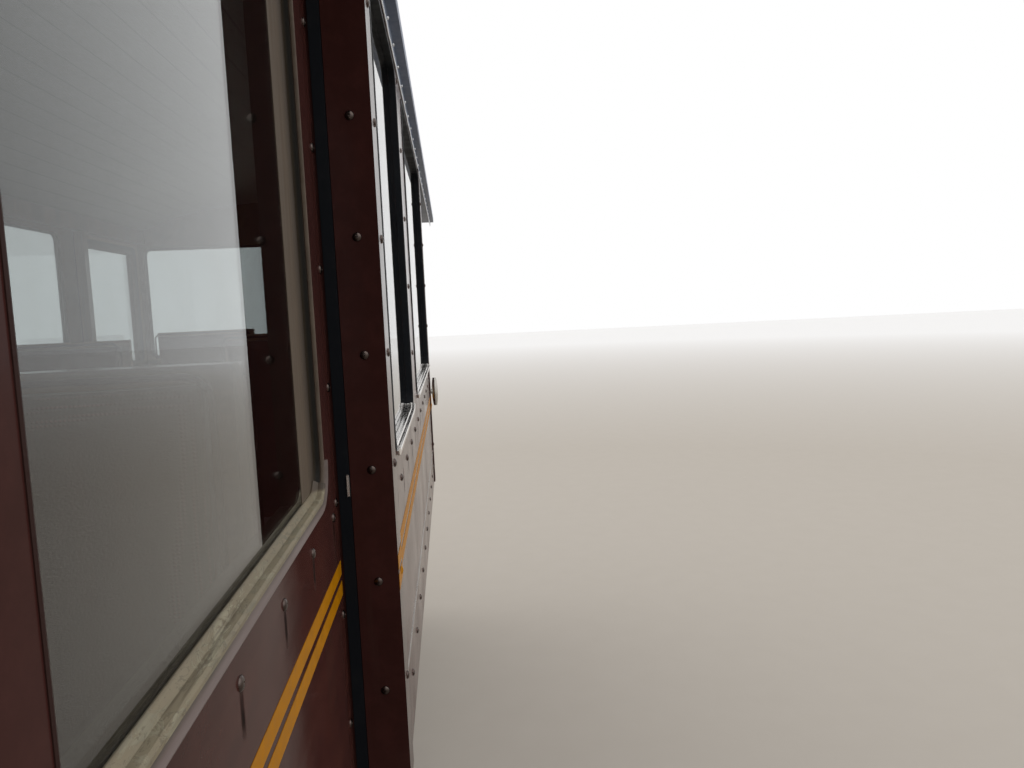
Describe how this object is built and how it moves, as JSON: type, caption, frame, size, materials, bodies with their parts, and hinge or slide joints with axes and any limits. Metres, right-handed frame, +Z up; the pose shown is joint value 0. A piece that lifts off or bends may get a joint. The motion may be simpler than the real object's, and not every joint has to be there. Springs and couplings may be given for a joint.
{
  "type": "bogie passenger coach for a miniature railway",
  "caption": "Enclosed bogie coach for a 381 mm gauge miniature railway, with proud saloon sections, recessed hinged doors, a curved roof and pocket couplers.",
  "frame": {"origin": "on the floor under the middle of the coach, level with the lowest point of the wheel flanges", "axes": "+X forward along the track, +Y to the left, +Z up"},
  "size_m": [6.655, 1.256, 1.7259],
  "materials": {
    "maroon_paint": "gloss dark maroon coach enamel",
    "roof_paint": "satin grey roof paint, weathered",
    "black_paint": "satin black chassis paint",
    "wheel_steel": "turned steel with bright treads",
    "spring_steel": "oily black spring steel and castings",
    "handle_metal": "worn bright metal",
    "aluminium_rail": "bare extruded aluminium",
    "window_glass": "clear polished glass",
    "cream_wood": "weathered cream painted wood",
    "varnished_wood": "varnished framing timber",
    "floor_wood": "worn brown floor boards",
    "seat_cloth": "dark red moquette"
  },
  "bodies": {
    "root": {"bay_panels_left": "maroon_paint", "bay_panels_right": "maroon_paint", "brake_cylinder": "black_paint", "brake_reservoir": "black_paint", "cantrails": "varnished_wood", "centre_plates": "black_paint", "corner_angles": "maroon_paint", "coupler_front": "black_paint", "coupler_rear": "black_paint", "cross_members": "black_paint", "door_hinges": "maroon_paint", "door_posts": "varnished_wood", "end_glass": "window_glass", "end_wall_front": "maroon_paint", "end_wall_rear": "maroon_paint", "floor": "floor_wood", "gutters": "maroon_paint", "headstocks": "black_paint", "lower_panels": "maroon_paint", "proud_sections_left": "maroon_paint", "proud_sections_right": "maroon_paint", "roof": "roof_paint", "seat_back_boards": "varnished_wood", "seat_backs": "seat_cloth", "seat_bases": "varnished_wood", "seat_cushions": "seat_cloth", "side_glass": "window_glass", "sill_rails": "aluminium_rail", "skirts": "maroon_paint", "solebars": "black_paint", "window_liners": "cream_wood"},
    "door_left_1": {"door_left_1_glass": "window_glass", "door_left_1_handle": "handle_metal", "door_left_1_leaf": "maroon_paint"},
    "door_left_2": {"door_left_2_glass": "window_glass", "door_left_2_handle": "handle_metal", "door_left_2_leaf": "maroon_paint"},
    "door_left_3": {"door_left_3_glass": "window_glass", "door_left_3_handle": "handle_metal", "door_left_3_leaf": "maroon_paint"},
    "door_right_1": {"door_right_1_glass": "window_glass", "door_right_1_handle": "handle_metal", "door_right_1_leaf": "maroon_paint"},
    "door_right_2": {"door_right_2_glass": "window_glass", "door_right_2_handle": "handle_metal", "door_right_2_leaf": "maroon_paint"},
    "door_right_3": {"door_right_3_glass": "window_glass", "door_right_3_handle": "handle_metal", "door_right_3_leaf": "maroon_paint"},
    "bogie_rear": {"bogie_rear_axleboxes": "spring_steel", "bogie_rear_frame": "black_paint", "bogie_rear_springs": "spring_steel"},
    "wheelset_rear_1": {"wheelset_rear_1": "wheel_steel"},
    "wheelset_rear_2": {"wheelset_rear_2": "wheel_steel"},
    "bogie_front": {"bogie_front_axleboxes": "spring_steel", "bogie_front_frame": "black_paint", "bogie_front_springs": "spring_steel"},
    "wheelset_front_1": {"wheelset_front_1": "wheel_steel"},
    "wheelset_front_2": {"wheelset_front_2": "wheel_steel"}
  },
  "joints": [
    {"name": "door_left_1_hinge", "type": "hinge", "parent": "root", "child": "door_left_1", "pos_m": [-2.5105, 0.569, 1.191], "axis": [0, 0, -1], "range_deg": [0, 95]},
    {"name": "door_left_2_hinge", "type": "hinge", "parent": "root", "child": "door_left_2", "pos_m": [0.0745, 0.569, 1.191], "axis": [0, 0, -1], "range_deg": [0, 95]},
    {"name": "door_left_3_hinge", "type": "hinge", "parent": "root", "child": "door_left_3", "pos_m": [2.6595, 0.569, 1.191], "axis": [0, 0, -1], "range_deg": [0, 95]},
    {"name": "door_right_1_hinge", "type": "hinge", "parent": "root", "child": "door_right_1", "pos_m": [-2.5105, -0.569, 1.191], "axis": [0, 0, 1], "range_deg": [0, 95]},
    {"name": "door_right_2_hinge", "type": "hinge", "parent": "root", "child": "door_right_2", "pos_m": [0.0745, -0.569, 1.191], "axis": [0, 0, 1], "range_deg": [0, 95]},
    {"name": "door_right_3_hinge", "type": "hinge", "parent": "root", "child": "door_right_3", "pos_m": [2.6595, -0.569, 1.191], "axis": [0, 0, 1], "range_deg": [0, 95]},
    {"name": "bogie_rear_pivot", "type": "hinge", "parent": "root", "child": "bogie_rear", "pos_m": [-2.2, 0, 0.32], "axis": [0, 0, 1], "range_deg": [-6, 6]},
    {"name": "wheelset_rear_1_spin", "type": "hinge", "parent": "bogie_rear", "child": "wheelset_rear_1", "pos_m": [-2.6, 0, 0.153], "axis": [0, 1, 0], "continuous": true},
    {"name": "wheelset_rear_2_spin", "type": "hinge", "parent": "bogie_rear", "child": "wheelset_rear_2", "pos_m": [-1.8, 0, 0.153], "axis": [0, 1, 0], "continuous": true},
    {"name": "bogie_front_pivot", "type": "hinge", "parent": "root", "child": "bogie_front", "pos_m": [2.2, 0, 0.32], "axis": [0, 0, 1], "range_deg": [-6, 6]},
    {"name": "wheelset_front_1_spin", "type": "hinge", "parent": "bogie_front", "child": "wheelset_front_1", "pos_m": [1.8, 0, 0.153], "axis": [0, 1, 0], "continuous": true},
    {"name": "wheelset_front_2_spin", "type": "hinge", "parent": "bogie_front", "child": "wheelset_front_2", "pos_m": [2.6, 0, 0.153], "axis": [0, 1, 0], "continuous": true}
  ]
}
